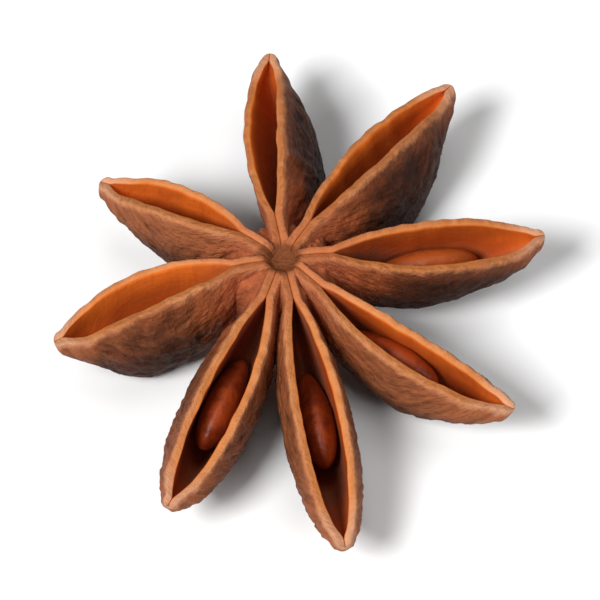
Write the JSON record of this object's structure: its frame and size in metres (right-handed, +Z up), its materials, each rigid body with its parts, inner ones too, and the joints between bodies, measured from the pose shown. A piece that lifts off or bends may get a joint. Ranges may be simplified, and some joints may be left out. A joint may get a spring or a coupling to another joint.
{
  "type": "star anise pod",
  "caption": "Dried star-shaped spice pod of pointed boat-shaped follicles, split open along the top, some with a glossy seed.",
  "frame": {"origin": "centre of the stalk's flat broken end, on the surface the pod rests on", "axes": "+Z up, the pod's short way, out of the open side; +X and +Y lie across the star, with one seeded follicle close to +X and the longest follicle towards -Y"},
  "size_m": [0.0341, 0.039, 0.0093],
  "materials": {
    "husk": "dry matt woody husk, dark and wrinkled outside, paler along the lips and satin inside",
    "seed_coat": "hard glossy natural seed coat, red-brown"
  },
  "bodies": {
    "root": {"pod": "husk", "seed_east": "seed_coat", "seed_south_east": "seed_coat", "seed_south": "seed_coat", "seed_south_west": "seed_coat"}
  },
  "joints": []
}
